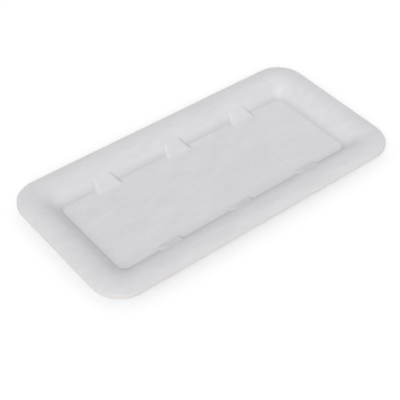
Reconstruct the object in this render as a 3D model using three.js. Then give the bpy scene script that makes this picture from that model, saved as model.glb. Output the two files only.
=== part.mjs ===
// Shallow foam tray, thermoformed from one sheet of expanded polystyrene.
// Millimetres, +Z up, origin on the resting plane below the middle of the floor.
// The long side runs along X. The section across a wall is drawn once, as a walk of
// straights and arcs, and swept round the floor as rings of rounded rectangles.

import * as THREE from 'three';

// Overall plan
const length = 270;
const width = 133;
const rimCornerRadius = 23;
const floorCornerRadius = 5.5;

// Section across a wall, from the floor out to the lip
const sheet = 3;
const depth = 12;
const wallAngle = THREE.MathUtils.degToRad(45);
const footRadius = 2.5;
const crestRadius = 17.5;
const lipRadius = 18;
const lipAngle = THREE.MathUtils.degToRad(30);
const lipEdgeRounding = 0.4;

// Trays nest at this step, so no part of a wall is taller than it, measured straight down
const nestingStep = 4.4;

// Lugs that lean from the long walls onto the floor and keep nested trays apart
const lugPitch = 65;
const lugEndClearance = 30;
const lugFootWidth = 22;
const lugTopWidth = 11.5;
const lugRampAngle = THREE.MathUtils.degToRad(30);
const lugTopBlend = 0.8;
const lugFootRadius = 6;
const lugSideRun = 1.8;
const lugShell = 2.2;

// Facets
const footSteps = 3;
const crestSteps = 6;
const lipSteps = 4;
const cornerSteps = 8;
const lugSideSteps = 3;

const foamColour = 0xf1f0ee;

// Walks along the upper face of the section from the edge of the flat floor. A station holds
// the distance out, the height and the slope.
function sectionStations() {
  const arcClimb = (radius, slope) => radius * (1 - Math.cos(slope));
  const straightClimb = depth - arcClimb(footRadius, wallAngle) - arcClimb(crestRadius, wallAngle);
  const stations = [{ out: 0, up: sheet, slope: 0 }];

  function arc(radius, slopeEnd, steps) {
    const start = stations.at(-1);
    const turn = Math.sign(slopeEnd - start.slope);
    for (let step = 1; step <= steps; step += 1) {
      const slope = THREE.MathUtils.lerp(start.slope, slopeEnd, step / steps);
      stations.push({
        out: start.out + turn * radius * (Math.sin(slope) - Math.sin(start.slope)),
        up: start.up - turn * radius * (Math.cos(slope) - Math.cos(start.slope)),
        slope,
      });
    }
  }

  arc(footRadius, wallAngle, footSteps);
  const foot = stations.at(-1);
  for (const share of [0.5, 1]) {
    stations.push({
      out: foot.out + (share * straightClimb) / Math.tan(wallAngle),
      up: foot.up + share * straightClimb,
      slope: wallAngle,
    });
  }
  const rampTop = stations.at(-1);
  arc(crestRadius, 0, crestSteps);
  arc(lipRadius, -lipAngle, lipSteps);
  return { stations, rampTop };
}

// Distance by which the fillet at the foot of a lug's ramp runs further out than the ramp
function rampFillet(height) {
  if (height >= lugFootRadius * (1 - Math.cos(lugRampAngle))) {
    return 0;
  }
  const slope = Math.acos(1 - height / lugFootRadius);
  const alongFillet = lugFootRadius * (Math.sin(slope) - Math.tan(lugRampAngle / 2));
  return height / Math.tan(lugRampAngle) - alongFillet;
}

// A lug's ramp leaves the wall softly below the crest and runs down onto the floor. At each
// station it stands this far in front of the wall, on this share of its height.
function withLug(station, rampTop) {
  if (station.out >= rampTop.out) {
    return { ...station, lugReach: 0, lugShare: 0 };
  }
  const drop = rampTop.up - station.up;
  const ahead = station.out - rampTop.out + drop / Math.tan(lugRampAngle);
  return {
    ...station,
    lugReach: ahead ** 2 / (ahead + lugTopBlend) + rampFillet(station.up - sheet),
    lugShare: drop / (rampTop.up - sheet),
  };
}

// The under face keeps the sheet's thickness square to the upper one, and gets thinner where
// the wall is steep, so that trays nest.
function underStation(station) {
  const thickness = Math.min(sheet, nestingStep * Math.cos(station.slope));
  return {
    ...station,
    out: station.out + thickness * Math.sin(station.slope),
    up: station.up - thickness * Math.cos(station.slope),
  };
}

// Lugs stand evenly about the middle of a wall, as many as its straight stretch takes
function lugCentres(straightHalf) {
  const gaps = Math.max(0, Math.floor((2 * (straightHalf - lugEndClearance)) / lugPitch));
  return Array.from({ length: gaps + 1 }, (_, lug) => (lug - gaps / 2) * lugPitch);
}

// Points of a ring along one long wall, from -X to +X, as places with the lug's reach there.
// A lug's sides rise steeply from the wall and round over onto its face.
function wallPoints({ lugReach, lugShare }, centres, inset) {
  const halfWidth = THREE.MathUtils.lerp(lugTopWidth, lugFootWidth, lugShare) / 2 - inset;
  const side = [];
  for (let step = 0; step <= lugSideSteps; step += 1) {
    const turn = (step / lugSideSteps) * (Math.PI / 2);
    const run = lugSideRun * (1 - Math.cos(turn));
    side.push({ fromMiddle: halfWidth - run, reach: lugReach * Math.sin(turn) });
  }
  return centres.flatMap((centre) => [
    ...side.map(({ fromMiddle, reach }) => ({ along: centre - fromMiddle, reach })),
    ...side.map(({ fromMiddle, reach }) => ({ along: centre + fromMiddle, reach })).reverse(),
  ]);
}

// One closed ring, anticlockwise seen from above, starting at the middle of the right end.
// inset narrows the lugs, as the shell is seen from below.
function ring(station, plan, inset) {
  const { out, up } = station;
  const halfLength = plan.floorHalfLength + out;
  const halfWidth = plan.floorHalfWidth + out;
  const radius = floorCornerRadius + plan.radiusGrowth * out;
  const wall = wallPoints(station, plan.centres, inset);
  const points = [];
  const addCorner = (signX, signY, startAngle) => {
    for (let step = 0; step <= cornerSteps; step += 1) {
      const angle = startAngle + (step / cornerSteps) * (Math.PI / 2);
      points.push(new THREE.Vector3(
        signX * (halfLength - radius) + radius * Math.cos(angle),
        signY * (halfWidth - radius) + radius * Math.sin(angle),
        up,
      ));
    }
  };
  points.push(new THREE.Vector3(halfLength, 0, up));
  addCorner(1, 1, 0);
  for (const { along, reach } of [...wall].reverse()) {
    points.push(new THREE.Vector3(along, halfWidth - reach, up));
  }
  addCorner(-1, 1, Math.PI / 2);
  points.push(new THREE.Vector3(-halfLength, 0, up));
  addCorner(-1, -1, Math.PI);
  for (const { along, reach } of wall) {
    points.push(new THREE.Vector3(along, reach - halfWidth, up));
  }
  addCorner(1, -1, 1.5 * Math.PI);
  return points;
}

// Closed mesh from a stack of rings that runs out over the upper face, round the lip and
// back under, with a fan closing the floor at both ends.
function skinRings(rings) {
  const count = rings[0].length;
  const positions = rings.flat().flatMap((point) => point.toArray());
  const faces = [];
  for (let row = 0; row + 1 < rings.length; row += 1) {
    for (let at = 0; at < count; at += 1) {
      const next = (at + 1) % count;
      const inner = row * count;
      const outer = inner + count;
      faces.push(inner + at, outer + at, outer + next);
      faces.push(inner + at, outer + next, inner + next);
    }
  }
  const addFan = (firstIndex, height, facesUp) => {
    const hub = positions.length / 3;
    positions.push(0, 0, height);
    for (let at = 0; at < count; at += 1) {
      const here = firstIndex + at;
      const next = firstIndex + ((at + 1) % count);
      faces.push(hub, facesUp ? here : next, facesUp ? next : here);
    }
  };
  addFan(0, rings[0][0].z, true);
  addFan((rings.length - 1) * count, rings.at(-1)[0].z, false);

  const geometry = new THREE.BufferGeometry();
  geometry.setAttribute('position', new THREE.Float32BufferAttribute(positions, 3));
  geometry.setIndex(faces);
  geometry.computeVertexNormals();
  return geometry;
}

function trayGeometry() {
  const { stations, rampTop } = sectionStations();
  const lip = stations.pop();
  const upper = stations.map((station) => withLug(station, rampTop));
  const under = upper.map(underStation).reverse();
  const plan = {
    floorHalfLength: length / 2 - lip.out,
    floorHalfWidth: width / 2 - lip.out,
    radiusGrowth: (rimCornerRadius - floorCornerRadius) / lip.out,
  };
  plan.centres = lugCentres(plan.floorHalfLength - floorCornerRadius);

  // Plain edge of the flat floor, just inside the feet of the lugs
  const floorEdge = {
    out: -(upper[0].lugReach + lugSideRun),
    lugReach: 0,
    lugShare: 1,
  };

  // The lip is cut straight down, with both its edges slightly broken
  const cutHeight = sheet / Math.cos(lipAngle);
  const rounding = lipEdgeRounding * Math.tan(lipAngle);
  const cut = [
    { out: lip.out - lipEdgeRounding, up: lip.up + rounding },
    { out: lip.out, up: lip.up - lipEdgeRounding },
    { out: lip.out, up: lip.up - cutHeight + lipEdgeRounding },
    { out: lip.out - lipEdgeRounding, up: lip.up - cutHeight + rounding },
  ].map((corner) => ({ ...corner, lugReach: 0, lugShare: 0 }));

  return skinRings([
    ring({ ...floorEdge, up: sheet }, plan, 0),
    ...upper.map((station) => ring(station, plan, 0)),
    ...cut.map((station) => ring(station, plan, 0)),
    ...under.map((station) => ring(station, plan, lugShell)),
    ring({ ...floorEdge, up: 0 }, plan, lugShell),
  ]);
}

const foam = new THREE.MeshStandardMaterial({ color: foamColour, roughness: 0.55, metalness: 0 });
const tray = new THREE.Mesh(trayGeometry(), foam);
tray.name = 'tray';

const group = new THREE.Group();
group.add(tray);

export default group;
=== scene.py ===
"""Looks of a shallow white foam tray: its moulded shell, foam finishes, studio and camera."""

import logging
import math
from collections.abc import Sequence
from dataclasses import dataclass, field
from enum import Enum

import bpy
from mathutils import Matrix, Vector

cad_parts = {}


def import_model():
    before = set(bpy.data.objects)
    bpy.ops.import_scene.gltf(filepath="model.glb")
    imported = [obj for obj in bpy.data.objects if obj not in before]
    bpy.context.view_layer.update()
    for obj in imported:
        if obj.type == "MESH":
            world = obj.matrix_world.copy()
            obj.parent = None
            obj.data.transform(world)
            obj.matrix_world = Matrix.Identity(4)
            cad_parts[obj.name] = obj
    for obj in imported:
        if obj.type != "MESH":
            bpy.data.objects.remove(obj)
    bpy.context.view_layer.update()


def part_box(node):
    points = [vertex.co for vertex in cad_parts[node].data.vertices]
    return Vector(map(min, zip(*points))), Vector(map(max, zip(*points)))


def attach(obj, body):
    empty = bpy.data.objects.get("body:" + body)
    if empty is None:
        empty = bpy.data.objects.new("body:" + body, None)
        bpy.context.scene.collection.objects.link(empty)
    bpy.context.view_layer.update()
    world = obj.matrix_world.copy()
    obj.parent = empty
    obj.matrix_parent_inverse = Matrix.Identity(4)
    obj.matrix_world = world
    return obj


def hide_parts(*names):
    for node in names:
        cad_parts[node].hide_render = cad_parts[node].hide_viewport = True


MM = 0.001
# Attribute that carries the strength of the painted shade in the creases and lug corners.
CREASE_SHADE_MARK = "crease_shade"
CUT_MARK = "cut"
EVEN = (1.0, 1.0, 1.0)
WHITE = (1.0, 1.0, 1.0, 1.0)
log = logging.getLogger("foam_tray")


class FoamZone(Enum):
    """The two kinds of surface that a sheet of foam shows once it is moulded and cut."""

    SKIN = 0
    CUT = 1


def shader_tree(name: str) -> tuple[bpy.types.Material, bpy.types.NodeTree]:
    """Make an empty node material.

    Args:
        name: The material's name.

    Returns:
        The material and its node tree.
    """
    material = bpy.data.materials.new(name)
    material.use_nodes = True
    material.node_tree.nodes.clear()
    return material, material.node_tree


@dataclass(frozen=True)
class FoamSkin:
    """Smooth satin skin of moulded foam, with faint cells and soft mottling, and a painted shade that
    greys it in the creases at the wall's foot and in the corners beside the lugs.

    draw stretches the mottling along X. speckle and cell_rim are how much the cells' own tones
    and their rims add to the shade, which sets in at shade_from. scatter is the share of light
    that goes in under the skin, as far as scatter_depth.
    """

    colour: tuple[float, float, float, float] = (0.886, 0.879, 0.902, 1.0)
    shade: tuple[float, float, float, float] = (0.804, 0.797, 0.82, 1.0)
    # Painted shade: the grey that the creases and the corners beside the lugs are darkened to.
    crease_shade: tuple[float, float, float, float] = (0.695, 0.688, 0.708, 1.0)
    cell: float = 0.75 * MM
    mottle: float = 6 * MM
    mottle_detail: float = 4
    draw: float = 0.35
    grain: float = 0.3 * MM
    grain_detail: float = 2
    speckle: float = 0.3
    cell_rim: float = 0.3
    shade_from: float = 0.35
    cell_depth: float = 0.06 * MM
    cell_relief: float = 0.7
    grain_relief: float = 0.3
    smoothest: float = 0.3
    roughest: float = 0.46
    gloss: float = 0.6
    scatter: float = 0.1
    scatter_depth: float = 0.8 * MM

    def material(self) -> bpy.types.Material:
        """Build the skin's procedural material.

        Returns:
            The finished material.
        """
        material, tree = shader_tree("foam_skin")
        make, link = tree.nodes.new, tree.links.new
        place = make("ShaderNodeTexCoord").outputs["Object"]

        drawn_out = make("ShaderNodeMapping")
        drawn_out.inputs["Scale"].default_value = (self.draw, 1.0, 1.0)
        link(place, drawn_out.inputs["Vector"])
        clouds = make("ShaderNodeTexNoise")
        clouds.inputs["Scale"].default_value = 1 / self.mottle
        clouds.inputs["Detail"].default_value = self.mottle_detail
        link(drawn_out.outputs["Vector"], clouds.inputs["Vector"])

        cells = make("ShaderNodeTexVoronoi")
        cells.inputs["Scale"].default_value = 1 / self.cell
        link(place, cells.inputs["Vector"])

        grain = make("ShaderNodeTexNoise")
        grain.inputs["Scale"].default_value = 1 / self.grain
        grain.inputs["Detail"].default_value = self.grain_detail
        link(place, grain.inputs["Vector"])

        speck = make("ShaderNodeMath")
        speck.operation = "MULTIPLY_ADD"
        speck.inputs[1].default_value = self.speckle
        link(cells.outputs["Color"], speck.inputs[0])
        link(clouds.outputs["Fac"], speck.inputs[2])
        tone = make("ShaderNodeMath")
        tone.operation = "MULTIPLY_ADD"
        tone.inputs[1].default_value = self.cell_rim
        link(cells.outputs["Distance"], tone.inputs[0])
        link(speck.outputs["Value"], tone.inputs[2])
        ramp = make("ShaderNodeValToRGB")
        ramp.color_ramp.elements[0].position = self.shade_from
        ramp.color_ramp.elements[0].color = self.colour
        ramp.color_ramp.elements[1].color = self.shade
        link(tone.outputs["Value"], ramp.inputs["Fac"])

        # Painted shade: the skin is mixed towards a darker grey where the creases and lug corners are
        # marked.
        shade_mark = make("ShaderNodeAttribute")
        shade_mark.attribute_name = CREASE_SHADE_MARK
        crease_shaded = make("ShaderNodeMix")
        crease_shaded.data_type = "RGBA"
        colour_inputs = [socket for socket in crease_shaded.inputs if socket.type == "RGBA"]
        colour_output = next(socket for socket in crease_shaded.outputs if socket.type == "RGBA")
        link(shade_mark.outputs["Fac"], crease_shaded.inputs[0])
        link(ramp.outputs["Color"], colour_inputs[0])
        colour_inputs[1].default_value = self.crease_shade

        sheen = make("ShaderNodeMapRange")
        sheen.inputs["To Min"].default_value = self.smoothest
        sheen.inputs["To Max"].default_value = self.roughest
        link(clouds.outputs["Fac"], sheen.inputs["Value"])

        relief = make("ShaderNodeBump")
        relief.inputs["Strength"].default_value = self.cell_relief
        relief.inputs["Distance"].default_value = self.cell_depth
        link(cells.outputs["Distance"], relief.inputs["Height"])
        fine = make("ShaderNodeBump")
        fine.inputs["Strength"].default_value = self.grain_relief
        fine.inputs["Distance"].default_value = self.cell_depth
        link(grain.outputs["Fac"], fine.inputs["Height"])
        link(relief.outputs["Normal"], fine.inputs["Normal"])

        foam = make("ShaderNodeBsdfPrincipled")
        foam.inputs["Subsurface Weight"].default_value = self.scatter
        foam.inputs["Subsurface Radius"].default_value = EVEN
        foam.inputs["Subsurface Scale"].default_value = self.scatter_depth
        foam.inputs["Specular IOR Level"].default_value = self.gloss
        link(colour_output, foam.inputs["Base Color"])
        link(sheen.outputs["Result"], foam.inputs["Roughness"])
        link(fine.outputs["Normal"], foam.inputs["Normal"])
        link(foam.outputs["BSDF"], make("ShaderNodeOutputMaterial").inputs["Surface"])
        return material


@dataclass(frozen=True)
class CutFoam:
    """Open cells of foam where the sheet was cut, dull and slightly warm.

    A cell's wall is as wide as wall_up_to and its pit starts at pit_from, both of them shares of the cell.
    The darker pit colour is painted shade in each cell's hollow.
    """

    wall: tuple[float, float, float, float] = (0.915, 0.889, 0.87, 1.0)
    # Painted shade: the darker colour in each open cell's hollow.
    pit: tuple[float, float, float, float] = (0.745, 0.707, 0.685, 1.0)
    wall_up_to: float = 0.03
    pit_from: float = 0.45
    cell: float = 0.55 * MM
    cell_depth: float = 0.25 * MM
    cell_relief: float = 0.7
    dullness: float = 0.78
    gloss: float = 0.3
    scatter: float = 0.2
    scatter_depth: float = 1.0 * MM

    def material(self) -> bpy.types.Material:
        """Build the cut edge's procedural material.

        Returns:
            The finished material.
        """
        material, tree = shader_tree("foam_cut")
        make, link = tree.nodes.new, tree.links.new
        place = make("ShaderNodeTexCoord").outputs["Object"]

        cells = make("ShaderNodeTexVoronoi")
        cells.feature = "DISTANCE_TO_EDGE"
        cells.inputs["Scale"].default_value = 1 / self.cell
        link(place, cells.inputs["Vector"])

        ramp = make("ShaderNodeValToRGB")
        ramp.color_ramp.elements[0].position = self.wall_up_to
        ramp.color_ramp.elements[0].color = self.wall
        ramp.color_ramp.elements[1].position = self.pit_from
        ramp.color_ramp.elements[1].color = self.pit
        link(cells.outputs["Distance"], ramp.inputs["Fac"])

        relief = make("ShaderNodeBump")
        relief.invert = True
        relief.inputs["Strength"].default_value = self.cell_relief
        relief.inputs["Distance"].default_value = self.cell_depth
        link(cells.outputs["Distance"], relief.inputs["Height"])

        foam = make("ShaderNodeBsdfPrincipled")
        foam.inputs["Roughness"].default_value = self.dullness
        foam.inputs["Specular IOR Level"].default_value = self.gloss
        foam.inputs["Subsurface Weight"].default_value = self.scatter
        foam.inputs["Subsurface Radius"].default_value = EVEN
        foam.inputs["Subsurface Scale"].default_value = self.scatter_depth
        link(ramp.outputs["Color"], foam.inputs["Base Color"])
        link(relief.outputs["Normal"], foam.inputs["Normal"])
        link(foam.outputs["BSDF"], make("ShaderNodeOutputMaterial").inputs["Surface"])
        return material


@dataclass(frozen=True)
class Station:
    """A place on the tray's section, measured from the edge of the flat floor.

    out and up place it, slope is its angle, lug_reach is how far a lug's ramp stands in front
    of it, lug_share is its share of the lug's height, and squeeze narrows its ring.
    """

    out: float
    up: float
    slope: float = 0.0
    lug_reach: float = 0.0
    lug_share: float = 0.0
    squeeze: float = 0.0


@dataclass(frozen=True)
class CreaseShadeBand:
    """Band of painted shade just above the foot of the wall, standing in for the shade that falls in the
    crease.

    It comes in smoothly from start to full, holds to fade and is gone at end, all of them
    distances out from the edge of the flat floor.
    """

    start: float = -0.3 * MM
    full: float = 1.7 * MM
    fade: float = 1.8 * MM
    end: float = 8 * MM

    def density(self, out: float) -> float:
        """Tell how strongly the crease is darkened with painted shade.

        Args:
            out: Distance out from the edge of the flat floor.

        Returns:
            The painted shade's strength, from 0 for none to 1 for the darkest.
        """
        rise = min(1.0, max(0.0, (out - self.start) / (self.full - self.start)))
        fall = min(1.0, max(0.0, (self.end - out) / (self.end - self.fade)))
        return rise * rise * (3 - 2 * rise) * fall**3


@dataclass
class TraySection:
    """Section across a wall, drawn once as straights and arcs from the floor to the lip."""

    sheet: float = 3 * MM
    depth: float = 12 * MM
    wall_angle: float = math.radians(45)
    foot_radius: float = 2.5 * MM
    crest_radius: float = 17.5 * MM
    lip_radius: float = 18 * MM
    lip_angle: float = math.radians(30)
    lip_edge_rounding: float = 0.4 * MM
    nesting_step: float = 4.4 * MM
    ramp_angle: float = math.radians(30)
    ramp_top_blend: float = 0.8 * MM
    ramp_foot_radius: float = 6 * MM
    facet: float = 0.7 * MM
    fewest_facets: int = 3
    cut_rows: int = 8

    def upper(self) -> list[Station]:
        """Walk along the upper face from the floor to the lip.

        Returns:
            The stations in order, each with the reach of a lug's ramp there.
        """
        climb = self.depth - sum(
            radius * (1 - math.cos(self.wall_angle)) for radius in (self.foot_radius, self.crest_radius)
        )
        stations = [Station(0.0, self.sheet)]
        self._arc(stations, self.foot_radius, self.wall_angle)
        foot = stations[-1]
        steps = math.ceil(climb / math.sin(self.wall_angle) / self.facet)
        for step in range(1, steps + 1):
            rise = climb * step / steps
            out = foot.out + rise / math.tan(self.wall_angle)
            stations.append(Station(out, foot.up + rise, self.wall_angle))
        ramp_top = stations[-1]
        self._arc(stations, self.crest_radius, 0.0)
        self._arc(stations, self.lip_radius, -self.lip_angle)
        return [self._with_lug(station, ramp_top) for station in stations]

    def _arc(self, stations: list[Station], radius: float, slope_end: float) -> None:
        """Go on along an arc from the last station.

        Args:
            stations: The stations so far, to which the arc's are added.
            radius: The arc's radius.
            slope_end: The slope at its end.
        """
        start = stations[-1]
        turn = math.copysign(1.0, slope_end - start.slope)
        steps = max(self.fewest_facets, math.ceil(abs(slope_end - start.slope) * radius / self.facet))
        for step in range(1, steps + 1):
            slope = start.slope + (slope_end - start.slope) * step / steps
            out = start.out + turn * radius * (math.sin(slope) - math.sin(start.slope))
            up = start.up - turn * radius * (math.cos(slope) - math.cos(start.slope))
            stations.append(Station(out, up, slope))

    def _with_lug(self, station: Station, ramp_top: Station) -> Station:
        """Give a station the reach of a lug's ramp.

        Args:
            station: A plain station of the wall.
            ramp_top: The station at which the ramp leaves the wall softly.

        Returns:
            The station with the ramp's reach and its share of the lug's height, or the
            station as it was if it lies further out than the ramp.
        """
        if station.out >= ramp_top.out:
            return station
        drop = ramp_top.up - station.up
        ahead = station.out - ramp_top.out + drop / math.tan(self.ramp_angle)
        reach = ahead**2 / (ahead + self.ramp_top_blend) + self._ramp_fillet(station.up - self.sheet)
        share = drop / (ramp_top.up - self.sheet)
        return Station(station.out, station.up, station.slope, reach, share)

    def _ramp_fillet(self, height: float) -> float:
        """Measure the fillet at the foot of the ramp.

        Args:
            height: Height above the upper face of the floor.

        Returns:
            How much further out than the ramp the fillet runs at that height.
        """
        if height >= self.ramp_foot_radius * (1 - math.cos(self.ramp_angle)):
            return 0.0
        slope = math.acos(1 - height / self.ramp_foot_radius)
        along = self.ramp_foot_radius * (math.sin(slope) - math.tan(self.ramp_angle / 2))
        return height / math.tan(self.ramp_angle) - along

    def under(self, upper: list[Station]) -> list[Station]:
        """Lay the under face at the sheet's thickness, thinner where the wall is steep.

        Args:
            upper: The stations of the upper face.

        Returns:
            The stations of the under face, from the lip back to the floor.
        """
        stations = []
        for station in reversed(upper):
            thickness = min(self.sheet, self.nesting_step * math.cos(station.slope))
            out = station.out + thickness * math.sin(station.slope)
            up = station.up - thickness * math.cos(station.slope)
            stations.append(Station(out, up, station.slope, station.lug_reach, station.lug_share))
        return stations

    def cut(self, lip: Station) -> list[Station]:
        """Cut the lip straight down, with both its edges slightly broken.

        Args:
            lip: The last station of the upper face.

        Returns:
            The stations down the cut.
        """
        height = self.sheet / math.cos(self.lip_angle)
        broken = self.lip_edge_rounding
        inward = broken * math.tan(self.lip_angle)
        rows = [Station(lip.out - broken, lip.up + inward)]
        for row in range(self.cut_rows + 1):
            drop = broken + (height - 2 * broken) * row / self.cut_rows
            rows.append(Station(lip.out, lip.up - drop))
        rows.append(Station(lip.out - broken, lip.up - height + inward))
        return rows


@dataclass
class WallLugs:
    """Lugs that lean from the long walls onto the floor and keep nested trays apart.

    Painted shade darkens the tight corner beside a lug, over corner_width along the wall and up to
    corner_share of the lug's side, in full where the lug reaches corner_reach.
    """

    pitch: float = 65 * MM
    count: int = 3
    foot_width: float = 22 * MM
    top_width: float = 11.5 * MM
    side_run: float = 1.8 * MM
    shell: float = 2.2 * MM
    corner_width: float = 2.6 * MM
    corner_share: float = 0.45
    corner_reach: float = 1 * MM
    side_steps: int = 8
    top_steps: int = 14
    gap_steps: int = 38
    end_steps: int = 22

    def places(
        self, station: Station, straight_half: float, inset: float
    ) -> list[tuple[float, float, float]]:
        """Place a ring's points along one long wall.

        Args:
            station: The ring's station.
            straight_half: Half the straight stretch of that ring's wall.
            inset: How much narrower a lug is on each side, as on the under face.

        Returns:
            Places along the wall from -X to +X, each with its share of the lug's full reach and the
            strength of the painted shade in the tight corner beside a lug.
        """
        width = self.top_width + (self.foot_width - self.top_width) * station.lug_share
        half = width / 2 - inset
        marks = [-straight_half]
        for lug in range(self.count):
            centre = (lug - (self.count - 1) / 2) * self.pitch
            marks += [centre - half, centre - half + self.side_run]
            marks += [centre + half - self.side_run, centre + half]
        marks.append(straight_half)

        lug_pieces = [(self.side_steps, 0.0, 1.0), (self.top_steps, 1.0, 1.0), (self.side_steps, 1.0, 0.0)]
        gap = (self.gap_steps, 0.0, 0.0)
        end = (self.end_steps, 0.0, 0.0)
        pieces = [end, *lug_pieces]
        for _ in range(self.count - 1):
            pieces += [gap, *lug_pieces]
        pieces.append(end)

        # Painted shade beside a lug, strongest where the lug is tall and stands well proud of the wall.
        tightness = math.sqrt(station.lug_share) * min(1.0, station.lug_reach / self.corner_reach)
        points = []
        for (start, stop), (steps, low, high) in zip(zip(marks, marks[1:]), pieces, strict=True):
            for step in range(steps):
                turn = step / steps * math.pi / 2
                if low < high:
                    part, share = 1 - math.cos(turn), math.sin(turn)
                elif low > high:
                    part, share = math.sin(turn), math.cos(turn)
                else:
                    part, share = step / steps, low
                place = start + (stop - start) * part
                away = min(abs(place - mark) for mark in marks[1:-1]) if low == high else 0.0
                near = max(0.0, 1 - share / self.corner_share - away / self.corner_width)
                points.append((place, share, tightness * near**2))
        return points[1:]


@dataclass
class FoamTray:
    """The tray: one sheet of foam, moulded to a floor, walls, lugs and rolled rim, then cut.

    The floor's innermost ring is middle_taper shorter at each end, and middle_gap is half its width.
    under_shade_share is the share of the painted crease shade that shows on the under face.
    """

    length: float
    width: float
    rim_corner_radius: float = 23 * MM
    floor_corner_radius: float = 5.5 * MM
    least_corner_radius: float = 0.2 * MM
    corner_steps: int = 26
    end_steps: int = 60
    floor_step: float = 2.2 * MM
    middle_taper: float = 10 * MM
    middle_gap: float = 0.3 * MM
    ripple_height: float = 0.09 * MM
    ripple_size: float = 16 * MM
    ripple_detail: float = 2
    cut_cell: float = 0.9 * MM
    cut_depth: float = 0.22 * MM
    # Painted shade: share of the crease darkening that is kept on the under face.
    under_shade_share: float = 0.2
    seed: int = 7
    section: TraySection = field(default_factory=TraySection)
    band: CreaseShadeBand = field(default_factory=CreaseShadeBand)
    lugs: WallLugs = field(default_factory=WallLugs)
    skin: FoamSkin = field(default_factory=FoamSkin)
    edge: CutFoam = field(default_factory=CutFoam)

    def build(self) -> bpy.types.Object:
        """Build the tray, relief and finishes included.

        Returns:
            The tray as one mesh object at the origin.
        """
        shell = self._shell()
        tree = self._relief_tree()
        relief = shell.modifiers.new("relief", "NODES")
        relief.node_group = tree
        values = {
            "Ripple Height": self.ripple_height,
            "Ripple Size": self.ripple_size,
            "Cell Size": self.cut_cell,
            "Pit Depth": self.cut_depth,
            "Seed": float(self.seed),
            "Skin": self.skin.material(),
            "Cut": self.edge.material(),
        }
        for item in tree.interface.items_tree:
            if item.in_out == "INPUT" and item.name in values:
                relief[item.identifier] = values[item.name]
        evaluated = shell.evaluated_get(bpy.context.evaluated_depsgraph_get())
        mesh = bpy.data.meshes.new_from_object(evaluated)
        mesh.name = "foam_tray"
        shell.modifiers.remove(relief)
        bpy.data.objects.remove(shell)
        tray = bpy.data.objects.new("foam_tray", mesh)
        bpy.context.collection.objects.link(tray)
        return tray

    def _ring(self, station: Station, reach_out: float, inset: float) -> list[tuple[Vector, float]]:
        """Lay one closed ring, anticlockwise seen from above, from the middle of the right end.

        Args:
            station: The ring's place on the section.
            reach_out: Distance from the edge of the flat floor to the rim's outline.
            inset: How much narrower a lug is on each side.

        Returns:
            The ring's points, each with the strength of the painted shade there.
        """
        half_length = self.length / 2 - reach_out + station.out
        half_width = self.width / 2 - reach_out + station.out - station.squeeze
        growth = (self.rim_corner_radius - self.floor_corner_radius) / reach_out
        radius = max(self.least_corner_radius, self.floor_corner_radius + growth * station.out)
        straight = half_width - radius
        wall = self.lugs.places(station, half_length - radius, inset)
        half_end = self.end_steps // 2
        reach = station.lug_reach
        # Painted shade in the crease at the wall's foot.
        painted_shade = self.band.density(station.out)
        points = []
        for step in range(half_end):
            y = straight * step / half_end
            points.append((Vector((half_length, y, station.up)), painted_shade))
        for quarter, (sign_x, sign_y) in enumerate([(1, 1), (-1, 1), (-1, -1), (1, -1)]):
            for step in range(self.corner_steps + 1):
                angle = (quarter + step / self.corner_steps) * math.pi / 2
                x = sign_x * (half_length - radius) + radius * math.cos(angle)
                y = sign_y * (half_width - radius) + radius * math.sin(angle)
                points.append((Vector((x, y, station.up)), painted_shade))
            if quarter == 1:
                for step in range(1, self.end_steps):
                    y = straight * (1 - 2 * step / self.end_steps)
                    points.append((Vector((-half_length, y, station.up)), painted_shade))
            if quarter % 2 == 0:
                for x, share, corner in reversed(wall) if quarter == 0 else wall:
                    y = sign_y * (half_width - reach * share)
                    # Painted shade: the crease's, faded where a lug stands, or the lug corner's, whichever
                    # is darker.
                    points.append((Vector((x, y, station.up)), max(painted_shade * (1 - share), corner)))
        for step in range(1, half_end):
            y = straight * (step / half_end - 1)
            points.append((Vector((half_length, y, station.up)), painted_shade))
        return points

    def _floor(self, height: float, foot_inset: float, floor_half: float) -> list[Station]:
        """List the stations that fill the flat floor.

        Args:
            height: Height of the face.
            foot_inset: How far the lugs' feet reach in over the floor.
            floor_half: Half the width of the floor between the lugs' feet.

        Returns:
            The stations from the floor's middle line to the lugs' feet.
        """
        rows = math.ceil(floor_half / self.floor_step)
        stations = []
        for row in range(rows + 1):
            inward = 1 - row / rows
            squeeze = inward * (floor_half - self.middle_taper - self.middle_gap)
            out = -foot_inset - inward * self.middle_taper
            stations.append(Station(out, height, lug_share=1.0, squeeze=squeeze))
        return stations

    def _shell(self) -> bpy.types.Object:
        """Skin the rings into one closed shell whose cut faces and painted crease shade are marked.

        Returns:
            The shell as an object without a finish.
        """
        walls = self.section.upper()
        lip = walls.pop()
        foot_inset = walls[0].lug_reach + self.lugs.side_run
        floor_half = self.width / 2 - lip.out - foot_inset
        upper = self._floor(self.section.sheet, foot_inset, floor_half) + walls
        cut = self.section.cut(lip)
        under = self.section.under(walls)
        under += reversed(self._floor(0.0, foot_inset, floor_half))
        rings = [self._ring(station, lip.out, 0) for station in upper + cut]
        rings += [self._ring(station, lip.out, self.lugs.shell) for station in under]

        count = len(rings[0])
        faces = []
        zones = []
        for row in range(len(rings) - 1):
            inner = row * count
            outer = inner + count
            is_cut = len(upper) <= row < len(upper) + len(cut) - 1
            for at in range(count):
                follow = (at + 1) % count
                faces.append((inner + at, outer + at, outer + follow, inner + follow))
            zones += [float((FoamZone.CUT if is_cut else FoamZone.SKIN).value)] * count
        faces.append(tuple(range(count)))
        last = (len(rings) - 1) * count
        faces.append(tuple(last + at for at in reversed(range(count))))
        zones += [float(FoamZone.SKIN.value)] * 2

        mesh = bpy.data.meshes.new("foam_shell")
        mesh.from_pydata([point for ring in rings for point, _ in ring], [], faces)
        marks = mesh.attributes.new(CUT_MARK, "FLOAT", "FACE")
        marks.data.foreach_set("value", zones)
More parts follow.
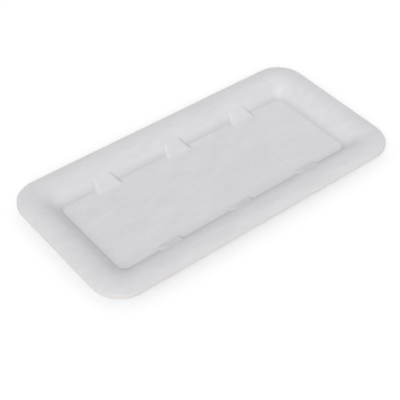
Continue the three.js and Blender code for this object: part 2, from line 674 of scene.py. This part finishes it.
        # Painted shade: per-point strength of the crease and corner darkening.
        shade_marks = mesh.attributes.new(CREASE_SHADE_MARK, "FLOAT", "POINT")
        tones = []
        for row, ring in enumerate(rings):
            strength = 1.0 if row < len(upper) + len(cut) else self.under_shade_share
            tones += [painted_shade * strength for _, painted_shade in ring]
        shade_marks.data.foreach_set("value", tones)
        mesh.polygons.foreach_set("use_smooth", [True] * len(faces))
        shell = bpy.data.objects.new("foam_shell", mesh)
        bpy.context.collection.objects.link(shell)
        return shell

    def _relief_tree(self) -> bpy.types.NodeTree:
        """Build the tree that ripples the skin, opens the cut cells and sets the finishes.

        Returns:
            The Geometry Nodes tree, with named inputs for its sizes, seed and finishes.
        """
        tree = bpy.data.node_groups.new("foam_relief", "GeometryNodeTree")
        sockets = tree.interface
        sockets.new_socket("Geometry", in_out="INPUT", socket_type="NodeSocketGeometry")
        for name in ("Ripple Height", "Ripple Size", "Cell Size", "Pit Depth", "Seed"):
            sockets.new_socket(name, in_out="INPUT", socket_type="NodeSocketFloat")
        for name in ("Skin", "Cut"):
            sockets.new_socket(name, in_out="INPUT", socket_type="NodeSocketMaterial")
        sockets.new_socket("Geometry", in_out="OUTPUT", socket_type="NodeSocketGeometry")
        make, link = tree.nodes.new, tree.links.new
        given = make("NodeGroupInput").outputs

        def math_node(operation: str, *values: bpy.types.NodeSocket | float) -> bpy.types.NodeSocket:
            """Make a Math node.

            Args:
                operation: What it does.
                values: The sockets or plain values that it works on.

            Returns:
                The socket of its result.
            """
            node = make("ShaderNodeMath")
            node.operation = operation
            for socket, value in zip(node.inputs, values):
                if isinstance(value, bpy.types.NodeSocket):
                    link(value, socket)
                else:
                    socket.default_value = value
            return node.outputs["Value"]

        position = make("GeometryNodeInputPosition").outputs["Position"]
        moved = make("ShaderNodeVectorMath")
        moved.operation = "ADD"
        link(position, moved.inputs[0])
        link(given["Seed"], moved.inputs[1])

        ripples = make("ShaderNodeTexNoise")
        ripples.inputs["Detail"].default_value = self.ripple_detail
        link(moved.outputs["Vector"], ripples.inputs["Vector"])
        link(math_node("DIVIDE", 1.0, given["Ripple Size"]), ripples.inputs["Scale"])
        centred = math_node("SUBTRACT", ripples.outputs["Fac"], 0.5)
        ripple = math_node("MULTIPLY", math_node("MULTIPLY", centred, 2.0), given["Ripple Height"])

        cells = make("ShaderNodeTexVoronoi")
        link(moved.outputs["Vector"], cells.inputs["Vector"])
        link(math_node("DIVIDE", 1.0, given["Cell Size"]), cells.inputs["Scale"])
        marked = make("GeometryNodeInputNamedAttribute")
        marked.data_type = "FLOAT"
        marked.inputs["Name"].default_value = CUT_MARK
        depth = math_node("SUBTRACT", 1.0, cells.outputs["Distance"])
        pit = math_node("MULTIPLY", math_node("MULTIPLY", depth, given["Pit Depth"]), marked.outputs[0])

        push = make("ShaderNodeVectorMath")
        push.operation = "SCALE"
        link(make("GeometryNodeInputNormal").outputs["Normal"], push.inputs[0])
        link(math_node("SUBTRACT", ripple, pit), push.inputs["Scale"])
        shaped = make("GeometryNodeSetPosition")
        link(given["Geometry"], shaped.inputs["Geometry"])
        link(push.outputs["Vector"], shaped.inputs["Offset"])

        realized = make("GeometryNodeRealizeInstances")
        link(shaped.outputs["Geometry"], realized.inputs["Geometry"])
        skin = make("GeometryNodeSetMaterial")
        link(realized.outputs["Geometry"], skin.inputs["Geometry"])
        link(given["Skin"], skin.inputs["Material"])
        cut = make("GeometryNodeSetMaterial")
        link(skin.outputs["Geometry"], cut.inputs["Geometry"])
        link(math_node("GREATER_THAN", marked.outputs[0], 0.5), cut.inputs["Selection"])
        link(given["Cut"], cut.inputs["Material"])
        link(cut.outputs["Geometry"], make("NodeGroupOutput").inputs["Geometry"])
        return tree


@dataclass(frozen=True)
class PhotoCamera:
    """Camera that was fitted to the outline of the rim in the photograph.

    The focal length is in pixels of the 400 pixel frame. The aim and distance are in metres
    from the middle of the plane through the rim's outer edge, in the camera's own axes.
    """

    frame_px: float = 400
    focal_px: float = 1033
    azimuth: float = math.radians(-40.57)
    elevation: float = math.radians(43.71)
    roll: float = math.radians(2.08)
    aim_right: float = 0.00606
    aim_up: float = 0.02394
    distance: float = 0.7683
    sensor_mm: float = 36
    nearest: float = 0.01

    def place(self, outline_height: float) -> bpy.types.Object:
        """Place the camera and make it the scene's own.

        Args:
            outline_height: Height of the plane through the rim's outer edge.

        Returns:
            The camera object.
        """
        camera_data = bpy.data.cameras.new("photo_camera")
        camera_data.sensor_width = self.sensor_mm
        camera_data.lens = self.focal_px / self.frame_px * self.sensor_mm
        camera_data.clip_start = self.nearest
        camera = bpy.data.objects.new("photo_camera", camera_data)
        bpy.context.collection.objects.link(camera)
        turn = (
            Matrix.Rotation(self.azimuth, 3, "Z")
            @ Matrix.Rotation(math.pi / 2 - self.elevation, 3, "X")
            @ Matrix.Rotation(self.roll, 3, "Z")
        )
        eye = turn @ Vector((-self.aim_right, -self.aim_up, self.distance))
        eye.z += outline_height
        camera.matrix_world = Matrix.Translation(eye) @ turn.to_4x4()
        bpy.context.scene.camera = camera
        return camera


@dataclass
class Studio:
    """White floor, white surroundings and one broad soft light from the camera's side."""

    floor_size: float = 12.0
    floor_drop: float = 0.2 * MM
    floor_colour: tuple[float, float, float, float] = (0.94, 0.94, 0.94, 1.0)
    floor_dullness: float = 0.9
    floor_lift: float = 0.3
    world_strength: float = 0.54
    key_strength: float = 1.1
    key_spread: float = math.radians(34)
    key_side: tuple[float, float, float] = (-0.72, -0.7, 0.84)

    def build(self) -> None:
        """Build the floor, the surroundings and the lamp."""
        self._floor()
        self._surroundings()
        self._key()

    def _floor(self) -> None:
        """Lay a white floor that keeps the tray's shadow."""
        half = self.floor_size / 2
        corners = [(-half, -half, 0), (half, -half, 0), (half, half, 0), (-half, half, 0)]
        mesh = bpy.data.meshes.new("floor")
        mesh.from_pydata(corners, [], [(0, 1, 2, 3)])
        floor = bpy.data.objects.new("floor", mesh)
        floor.location.z = -self.floor_drop
        bpy.context.collection.objects.link(floor)
        material, tree = shader_tree("white_floor")
        make, link = tree.nodes.new, tree.links.new
        paper = make("ShaderNodeBsdfPrincipled")
        paper.inputs["Base Color"].default_value = self.floor_colour
        paper.inputs["Roughness"].default_value = self.floor_dullness
        paper.inputs["Specular IOR Level"].default_value = 0.0
        paper.inputs["Emission Color"].default_value = WHITE
        lift = make("ShaderNodeMath")
        lift.operation = "MULTIPLY"
        lift.inputs[1].default_value = self.floor_lift
        link(self._shown_rays(tree), lift.inputs[0])
        link(lift.outputs["Value"], paper.inputs["Emission Strength"])
        link(paper.outputs["BSDF"], make("ShaderNodeOutputMaterial").inputs["Surface"])
        mesh.materials.append(material)

    def _shown_rays(self, tree: bpy.types.NodeTree) -> bpy.types.NodeSocket:
        """Pick out the rays that show the background: seen, mirrored or passed through.

        Args:
            tree: The node tree that gets the nodes.

        Returns:
            The socket that is 1 on such a ray and 0 on the others.
        """
        rays = tree.nodes.new("ShaderNodeLightPath")
        shown = rays.outputs["Is Camera Ray"]
        for name in ("Is Glossy Ray", "Is Transmission Ray"):
            either = tree.nodes.new("ShaderNodeMath")
            either.operation = "MAXIMUM"
            tree.links.new(shown, either.inputs[0])
            tree.links.new(rays.outputs[name], either.inputs[1])
            shown = either.outputs["Value"]
        return shown

    def _surroundings(self) -> None:
        """Surround the set with white that the camera sees at full strength."""
        world = bpy.data.worlds.new("white_room")
        world.use_nodes = True
        tree = world.node_tree
        tree.nodes.clear()
        make, link = tree.nodes.new, tree.links.new
        glow = make("ShaderNodeBackground")
        glow.inputs["Color"].default_value = WHITE
        strength = make("ShaderNodeMapRange")
        strength.inputs["To Min"].default_value = self.world_strength
        strength.inputs["To Max"].default_value = 1.0
        link(self._shown_rays(tree), strength.inputs["Value"])
        link(strength.outputs["Result"], glow.inputs["Strength"])
        link(glow.outputs["Background"], make("ShaderNodeOutputWorld").inputs["Surface"])
        bpy.context.scene.world = world

    def _key(self) -> None:
        """Light the set evenly from a wide patch of sky on the camera's side."""
        data = bpy.data.lights.new("key", "SUN")
        data.energy = self.key_strength
        data.angle = self.key_spread
        lamp = bpy.data.objects.new("key", data)
        lamp.location = self.key_side
        lamp.rotation_euler = Vector(self.key_side).to_track_quat("Z", "Y").to_euler()
        bpy.context.collection.objects.link(lamp)


def main() -> None:
    """Build the tray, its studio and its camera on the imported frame."""
    logging.basicConfig(level=logging.INFO, format="%(message)s")
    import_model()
    bpy.context.scene.view_settings.view_transform = "Standard"
    low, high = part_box("tray")
    design = FoamTray(length=high[0] - low[0], width=high[1] - low[1])
    tray = design.build()
    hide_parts("tray")
    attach(tray, "root")
    log.info("%s: %d faces", tray.name, len(tray.data.polygons))

    lip_height = design.section.upper()[-1].up
    Studio().build()
    PhotoCamera().place(lip_height)


if __name__ == "__main__":
    main()
